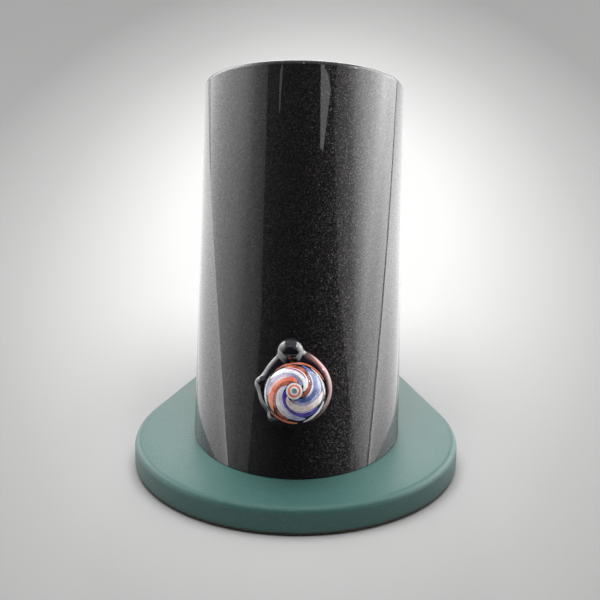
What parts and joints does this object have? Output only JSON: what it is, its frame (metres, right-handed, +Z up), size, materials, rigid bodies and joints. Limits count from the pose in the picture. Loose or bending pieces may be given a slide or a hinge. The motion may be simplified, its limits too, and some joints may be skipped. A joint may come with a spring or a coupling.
{
  "type": "tabletop aroma heater",
  "caption": "Leaning round housing on a teardrop base, with a lampworked glass control knob low on its front and a heater port with a glass cover in its upper end.",
  "frame": {"origin": "on the underside of the base pad, straight below the point where the tube's axis meets the base's top face", "axes": "+Z up, -Y towards the knob, +Y along the base's tail, the way the housing leans"},
  "size_m": [0.159, 0.2453, 0.1908],
  "materials": {
    "black_flake_paint": "high-gloss black coat with fine metal flake under a clear coat",
    "black_plate_paint": "satin black powder coat",
    "teal_powder_coat": "matt blue-green powder coat with a fine texture",
    "pad_foam": "brown-grey foam rubber",
    "bare_aluminium": "mill finish",
    "zinc_steel": "zinc plated",
    "polished_steel": "polished",
    "clear_glass": "clear borosilicate",
    "swirl_glass": "clear glass over coloured spirals",
    "black_glass": "opaque black, flame polished",
    "white_ceramic": "unglazed",
    "resistance_wire": "oxidised",
    "board_laminate": "solder mask",
    "black_plastic": "fine moulded texture",
    "blue_plastic": "moulded case",
    "copper_wire": "enamelled",
    "fuse_glass": "plated caps on a glass tube",
    "brass": "turned",
    "brown_cable": "insulation",
    "blue_cable": "insulation",
    "white_cable": "woven glass sleeve",
    "green_cable": "insulation"
  },
  "bodies": {
    "housing": {"base_plate": "teal_powder_coat", "base_pad": "pad_foam", "base_screw_1": "zinc_steel", "base_screw_2": "zinc_steel", "base_screw_3": "zinc_steel", "mount_flange": "bare_aluminium", "body_tube": "black_flake_paint", "top_plate": "black_plate_paint", "top_ring": "bare_aluminium", "top_screw_1": "zinc_steel", "top_screw_2": "zinc_steel", "top_screw_3": "zinc_steel", "port_collar": "polished_steel", "heater_socket": "white_ceramic", "heater_rod": "white_ceramic", "heater_coil": "resistance_wire", "heat_shield": "zinc_steel", "thermal_fuse": "zinc_steel", "chassis_plate": "zinc_steel", "board_standoff_1": "brass", "board_standoff_2": "brass", "board_standoff_3": "brass", "board_standoff_4": "brass", "board_screw_1": "zinc_steel", "board_screw_2": "zinc_steel", "board_screw_3": "zinc_steel", "board_screw_4": "zinc_steel", "dimmer_board": "board_laminate", "heat_sink": "bare_aluminium", "triac": "black_plastic", "filter_capacitor": "blue_plastic", "filter_choke": "copper_wire", "fuse_holder": "black_plastic", "board_fuse": "fuse_glass", "terminal_block": "black_plastic", "potentiometer": "zinc_steel", "pot_washer": "zinc_steel", "pot_nut": "zinc_steel", "inlet_saddle": "black_plastic", "mains_inlet": "black_plastic", "inlet_pin_1": "brass", "inlet_pin_2": "brass", "inlet_pin_3": "brass", "inlet_screw_1": "zinc_steel", "inlet_screw_2": "zinc_steel", "wire_live": "brown_cable", "wire_neutral": "blue_cable", "wire_heater_1": "white_cable", "wire_heater_2": "white_cable", "wire_earth": "green_cable", "earth_lug": "copper_wire"},
    "knob": {"pot_shaft": "bare_aluminium", "knob_insert": "brass", "knob_collar": "black_glass", "knob_marble": "swirl_glass"},
    "cover": {"heater_cover": "clear_glass"}
  },
  "joints": [
    {"name": "knob_turn", "type": "hinge", "parent": "housing", "child": "knob", "pos_m": [0, -0.03799, 0.05009], "axis": [0, -0.866, 0.5], "range_deg": [-300, 0]},
    {"name": "cover_lift", "type": "slide", "parent": "housing", "child": "cover", "axis": [0, 0.5, 0.866], "range_m": [0, 0.06]}
  ]
}
